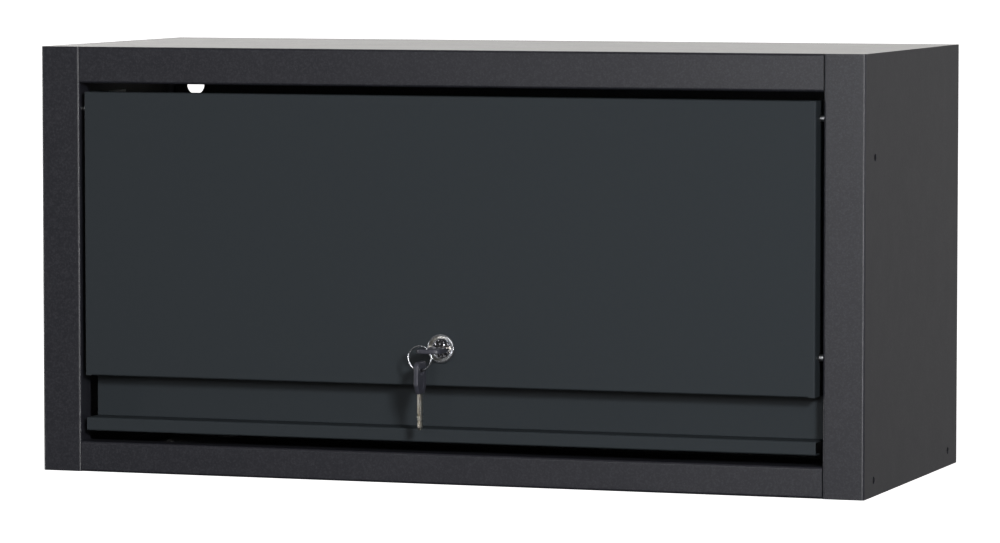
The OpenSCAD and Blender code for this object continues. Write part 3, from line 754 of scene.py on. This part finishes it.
def head_outline(inset):
    slope = math.degrees(math.atan2(head_half - HEAD_WAIST_HALF, -HEAD_SHOULDER_Y))
    right = [
        *round_corner((head_half, -head_length), -90, 0, HEAD_CORNER, inset),
        *round_corner((head_half, HEAD_SHOULDER_Y), 0, slope, HEAD_SHOULDER, inset),
        *round_corner((HEAD_WAIST_HALF, 0), slope, 90, HEAD_WAIST, inset),
    ]
    left = [Vector((-point.x, point.y)) for point in reversed(right)]
    return right + left


def slot_outline(inset):
    right = arc((SLOT_HALF, SLOT_Y), -90, 90, SLOT_RADIUS + inset, 2 * CORNER_STEPS)
    left = arc((-SLOT_HALF, SLOT_Y), 90, 270, SLOT_RADIUS + inset, 2 * CORNER_STEPS)
    return right + left


def panel_outline(radius):
    return arc((0, PANEL_Y), 0, 360, radius, 4 * CORNER_STEPS)[:-1]


# %% [markdown]
# ## Skin of a key head
#
# Loops of the outline at several heights make the rounded rim, and the slot gets the same rim the
# other way round. Each loop becomes a row of edges. Drawing the faces one by one would work too,
# but two operators do it with less to go wrong: one bridges neighbouring loops, and the other
# fills a face and leaves the loops inside it open. The grip panel is sunk in both faces.

# %% Loft a key head
HEAD_RIM = 0.9
SLOT_RIM = 0.5
PANEL_RADIUS = 4.5
PANEL_SINK = 0.4
RIM_STEPS = 5


def loop_of(mesh, points, height):
    """A closed loop of edges through the points, at one height."""
    corners = [mesh.verts.new((point.x * MM, point.y * MM, height * MM)) for point in points]
    return [mesh.edges.new(pair) for pair in zip(corners, corners[1:] + corners[:1])]


def rim(mesh, outline, radius):
    """A rounded rim from the upper face round to the lower one. Returns its two outer loops."""
    angles = [QUARTER_TURN * k / RIM_STEPS for k in range(RIM_STEPS + 1)]
    insets = [radius * (1 - math.sin(angle)) for angle in angles]
    heights = [head_thickness / 2 - radius * (1 - math.cos(angle)) for angle in angles]
    upper = [loop_of(mesh, outline(inset), height) for inset, height in zip(insets, heights)]
    lower = [loop_of(mesh, outline(inset), -height) for inset, height in zip(insets, heights)]
    loops = upper + lower[::-1]
    for above, below in zip(loops, loops[1:]):
        bmesh.ops.bridge_loops(mesh, edges=above + below)
    return loops[0], loops[-1]


def moulded_head(place):
    mesh = bmesh.new()
    outer_rims = rim(mesh, head_outline, HEAD_RIM)
    slot_rims = rim(mesh, slot_outline, SLOT_RIM)
    for side, outer, slot in zip((1, -1), outer_rims, slot_rims):
        surface = side * head_thickness / 2
        brink = loop_of(mesh, panel_outline(PANEL_RADIUS), surface)
        panel = loop_of(mesh, panel_outline(PANEL_RADIUS - PANEL_SINK), surface - side * PANEL_SINK)
        bmesh.ops.bridge_loops(mesh, edges=brink + panel)
        bmesh.ops.triangle_fill(mesh, use_beauty=True, edges=outer + slot + brink)
        bmesh.ops.triangle_fill(mesh, use_beauty=True, edges=panel)
    bmesh.ops.recalc_face_normals(mesh, faces=mesh.faces)
    bmesh.ops.transform(mesh, matrix=place, verts=mesh.verts)
    return mesh


print("each rim has", 2 * (RIM_STEPS + 1), "loops")

# %% [markdown]
# ## Both key heads
#
# Two heads come from one mould: one lies flat on its key in front of the lock, and the spare hangs
# from the ring a quarter turn round. A linked copy with its own rotation would share the mesh,
# but every piece here keeps its object at the origin, so each head is lofted in its own place.

# %% Lay the heads on the two keys
spare_low, spare_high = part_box("spare_key_head")
spare_middle = (spare_low + spare_high) / 2
lying = Matrix.Translation((0, head_high.y, (head_low.z + head_high.z) / 2))
upright = Matrix.Rotation(QUARTER_TURN, 4, "Z") @ Matrix.Rotation(-QUARTER_TURN, 4, "X")
hanging = Matrix.Translation((spare_middle.x, spare_middle.y, spare_low.z)) @ upright
moulded_key_head = add_piece("moulded_key_head", moulded_head(lying), "key")
moulded_spare_head = add_piece("moulded_spare_head", moulded_head(hanging), "spare_key")
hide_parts("key_head")
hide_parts("spare_key_head")
for moulded in (moulded_key_head, moulded_spare_head):
    soften(moulded, 0)

# %% [markdown]
# ## Key plastic
#
# The heads are moulded in a dark plastic with a blue cast. The photograph shows them a little
# lighter than the door behind them, with a gloss that thumbs have polished in patches. A single
# roughness would look new from the mould, so a coarse noise wanders above its fine grain.

# %% Plastic of the key heads
KEY_PLASTIC = (0.048, 0.049, 0.064)

moulded_plastic = Finish("moulded_plastic", KEY_PLASTIC, 0.4)
mould_grain = moulded_plastic.noise(grain_mm=0.35, detail=3)
thumbed = moulded_plastic.noise(grain_mm=5.0)
moulded_plastic.rough(0.22 + 0.14 * mould_grain + 0.10 * thumbed)
moulded_plastic.relief(mould_grain, depth_mm=0.015, strength=0.5)
moulded_plastic.coat("moulded_key_head", "moulded_spare_head", "key_head", "spare_key_head")

# %% [markdown]
# ## Light
#
# A wide panel stands high behind the camera and a small key panel further right: both come from
# above, so they throw the shadow of the keys down to the left and the thin dark band under the
# edge of the door face. The key panel has no reflection, because the top would show it as a white
# glare from behind. One large lamp could do both jobs, but its shadow and its mirror image could
# not be set apart. So three cards are seen only in reflections: one in front makes the paint
# grow brighter towards the right, and one at each side draws the rim of the lock, the ring and
# the bends of the sheet. Two panels at the rear light the back and the sides for other views.

# %% Place the softboxes
FRONT_AIM = (0.0, -0.15, 0.17)
CENTRE_AIM = (0.0, 0.0, 0.17)


def softbox(name, place, aim, size, watts):
    """A rectangular area light, with its width and height in metres, that faces a point."""
    light = bpy.data.lights.new(name, "AREA")
    light.shape = "RECTANGLE"
    light.size, light.size_y = size
    light.energy = watts
    lamp = bpy.data.objects.new(name, light)
    lamp.location = place
    lamp.rotation_euler = (Vector(aim) - Vector(place)).to_track_quat("-Z", "Y").to_euler()
    bpy.context.scene.collection.objects.link(lamp)
    return lamp


front_panel = softbox("front_panel", (0.3, -4.3, 1.0), FRONT_AIM, size=(1.8, 0.5), watts=36)
key_panel = softbox("key_panel", (1.78, -2.9, 1.12), FRONT_AIM, size=(0.4, 0.4), watts=84)
key_panel.visible_glossy = False
front_card = softbox("front_card", (0.2, -4.4, 0.3), FRONT_AIM, size=(1.6, 1.4), watts=24)
left_card = softbox("left_card", (-2.4, -1.1, 0.1), FRONT_AIM, size=(0.4, 1.0), watts=14)
right_card = softbox("right_card", (2.0, -2.6, 0.05), FRONT_AIM, size=(0.35, 0.7), watts=36)
rear_left = softbox("rear_left_panel", (-3.0, 2.4, 0.9), CENTRE_AIM, size=(2.6, 2.0), watts=110)
rear_right = softbox("rear_right_panel", (3.3, 1.2, 1.0), CENTRE_AIM, size=(2.0, 2.0), watts=30)
cards = (front_card, left_card, right_card)
panels = (front_panel, key_panel, rear_left, rear_right)
for card in cards:
    card.visible_diffuse = False
print("lit by", len(panels), "panels and", len(cards), "cards")

# %% Measure the drawn model against the solid one
drawn_low, drawn_high = (Vector(corner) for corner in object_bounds())
growth = max((drawn_high - cad_high).length, (cad_low - drawn_low).length)
print("the drawn model differs from the solid one by", round(growth / MM, 2), "mm at most")
